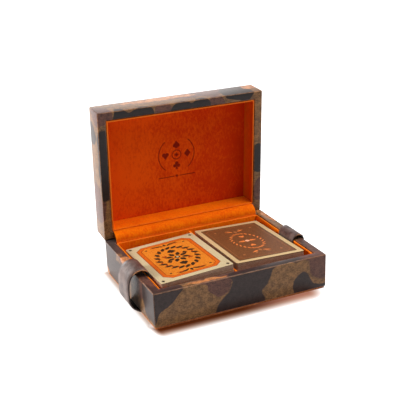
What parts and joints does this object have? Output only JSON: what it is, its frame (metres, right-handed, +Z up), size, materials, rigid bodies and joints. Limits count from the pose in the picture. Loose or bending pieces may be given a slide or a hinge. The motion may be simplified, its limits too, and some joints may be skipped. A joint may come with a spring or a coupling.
{
  "type": "playing card box",
  "caption": "Leather covered playing card box with a hinged lid, suede-lined wells side by side, a deck in each well and a leather pull strap over each side wall.",
  "frame": {"origin": "centre of the base's footprint, on the surface that the box stands on", "axes": "+Z up, front of the box towards -Y, +X to the right seen from the front; the lid stands open, turned back about the hinge axis along X at the rear rim"},
  "size_m": [0.1674, 0.14, 0.1504],
  "materials": {
    "board": "raw fibreboard, hidden under leather and suede",
    "camouflage_leather": "grained leather printed with a brown, olive and charcoal camouflage, semi-gloss",
    "orange_suede": "orange suede lining, short nap",
    "strap_leather": "mauve-brown leather, raw tan edges, dark flesh side",
    "hinge_brass": "plain drawn brass",
    "card_stock": "coated playing card stock seen from its edges",
    "orange_card_back": "printed card back, cream border and orange field, coated",
    "brown_card_back": "printed card back, cream border and brown field, coated"
  },
  "bodies": {
    "base": {"base_front_board": "board", "base_back_board": "board", "base_left_board": "board", "base_right_board": "board", "base_bottom_board": "board", "base_leather_cover": "camouflage_leather", "underside_panel": "orange_suede", "well_floor_panel": "orange_suede", "base_front_liner": "orange_suede", "base_back_liner": "orange_suede", "base_left_liner": "orange_suede", "base_right_liner": "orange_suede", "well_divider": "orange_suede", "pull_strap_left": "strap_leather", "pull_strap_right": "strap_leather", "hinge_left_base_leaf": "hinge_brass", "hinge_right_base_leaf": "hinge_brass", "hinge_left_pin": "hinge_brass", "hinge_right_pin": "hinge_brass", "hinge_base_screws": "hinge_brass", "hinge_cover_strip": "orange_suede"},
    "lid": {"lid_front_board": "board", "lid_back_board": "board", "lid_left_board": "board", "lid_right_board": "board", "lid_top_board": "board", "lid_leather_cover": "camouflage_leather", "lid_top_liner": "orange_suede", "lid_front_liner": "orange_suede", "lid_back_liner": "orange_suede", "lid_left_liner": "orange_suede", "lid_right_liner": "orange_suede", "hinge_left_lid_leaf": "hinge_brass", "hinge_right_lid_leaf": "hinge_brass", "hinge_lid_screws": "hinge_brass"},
    "deck_left": {"deck_left_cards": "card_stock", "deck_left_top_card": "orange_card_back"},
    "deck_right": {"deck_right_cards": "card_stock", "deck_right_top_card": "brown_card_back"}
  },
  "joints": [
    {"name": "lid_hinge", "type": "hinge", "parent": "base", "child": "lid", "pos_m": [0, 0.0587, 0.0316], "axis": [1, 0, 0], "range_deg": [0, 85.6], "deforming": ["pull_strap_left", "pull_strap_right", "hinge_cover_strip"]},
    {"name": "deck_left_lift", "type": "slide", "parent": "base", "child": "deck_left", "axis": [0, 0, 1], "range_m": [0, 0.012]},
    {"name": "deck_right_lift", "type": "slide", "parent": "base", "child": "deck_right", "axis": [0, 0, 1], "range_m": [0, 0.012]}
  ]
}
